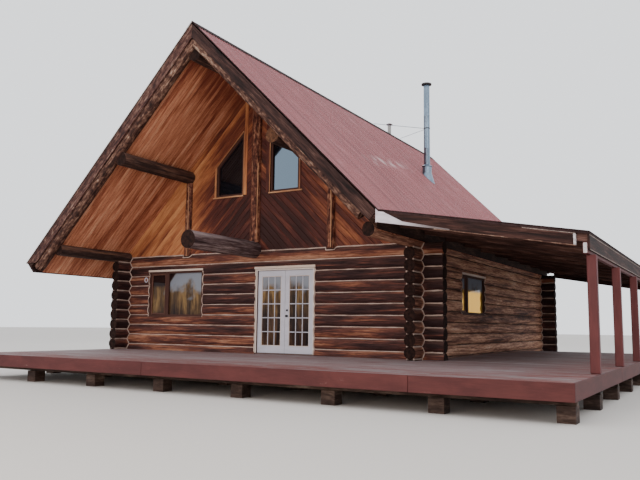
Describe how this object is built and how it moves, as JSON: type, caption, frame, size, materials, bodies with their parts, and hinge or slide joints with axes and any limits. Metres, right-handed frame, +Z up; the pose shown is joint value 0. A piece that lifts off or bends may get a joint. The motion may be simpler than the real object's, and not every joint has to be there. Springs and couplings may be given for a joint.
{
  "type": "log cabin",
  "caption": "Two-storey log cabin with a steep metal roof, glazed front doors, a raised deck and a lean-to porch on posts.",
  "frame": {"origin": "on level ground under the middle of the front log wall face, on the foundation underside plane", "axes": "+Z up, -Y out of the front wall, +X towards the porch side"},
  "size_m": [13.995, 16.649, 9.1204],
  "materials": {
    "black_hardware": "black knob and deadbolt",
    "cap_metal": "dark metal",
    "concrete": "rough concrete",
    "dark_trim": "dark weathered boards",
    "deck_boards": "worn red-brown paint on boards",
    "flashing": "dull grey-white sheet",
    "floor_boards": "plain floor boards",
    "gable_boards": "stained tongue and groove boards",
    "galvanised": "galvanised sheet",
    "glass": "clear glass",
    "logs": "weathered dark stain over round logs",
    "porch_timber": "dark stained timber",
    "red_paint": "red-brown paint on timber",
    "roof_metal": "dusty red painted sheet",
    "rough_timber": "rough sawn timber",
    "soffit_boards": "stained tongue and groove boards",
    "white_paint": "white painted doors",
    "window_trim": "dark brown painted frames"
  },
  "bodies": {
    "house": {"barge_boards": "dark_trim", "centre_beam": "logs", "deck_bearers": "rough_timber", "deck_fascia": "red_paint", "deck_front": "deck_boards", "deck_joists": "rough_timber", "deck_piers": "rough_timber", "deck_side": "deck_boards", "door_frame": "white_paint", "eave_fascia": "dark_trim", "floor": "floor_boards", "flue_braces": "galvanised", "flue_cap": "cap_metal", "flue_flashing": "galvanised", "flue_pipe": "galvanised", "foundation": "concrete", "front_wall_left": "logs", "front_wall_middle": "logs", "front_wall_right": "logs", "front_wall_sill": "logs", "front_wall_top": "logs", "gable_front": "gable_boards", "gable_posts": "logs", "gable_rear": "gable_boards", "left_wall": "logs", "loft_floor": "floor_boards", "plate_log_left": "logs", "plate_log_right": "logs", "porch_beam": "porch_timber", "porch_fascia": "dark_trim", "porch_flashing": "flashing", "porch_posts": "red_paint", "porch_rafters": "porch_timber", "porch_roof": "roof_metal", "purlin_left": "logs", "purlin_right": "logs", "rake_logs_front": "logs", "rake_logs_rear": "logs", "rear_wall": "logs", "ridge_cap": "roof_metal", "ridge_log": "logs", "right_wall_front": "logs", "right_wall_rear": "logs", "right_wall_sill": "logs", "right_wall_top": "logs", "roof_left": "soffit_boards", "roof_metal_left": "roof_metal", "roof_metal_right": "roof_metal", "roof_right": "soffit_boards", "roof_vent": "cap_metal", "window_frames": "window_trim", "window_glass": "glass"},
    "door_left_leaf": {"door_left": "white_paint", "door_glass_left": "glass"},
    "door_right_leaf": {"door_right": "white_paint", "door_glass_right": "glass", "door_handle": "black_hardware"}
  },
  "joints": [
    {"name": "door_left_hinge", "type": "hinge", "parent": "house", "child": "door_left_leaf", "pos_m": [0.1065, 0.115, 1.6], "axis": [0, 0, 1], "range_deg": [0, 90]},
    {"name": "door_right_hinge", "type": "hinge", "parent": "house", "child": "door_right_leaf", "pos_m": [1.7435, 0.115, 1.6], "axis": [0, 0, -1], "range_deg": [0, 90]}
  ]
}
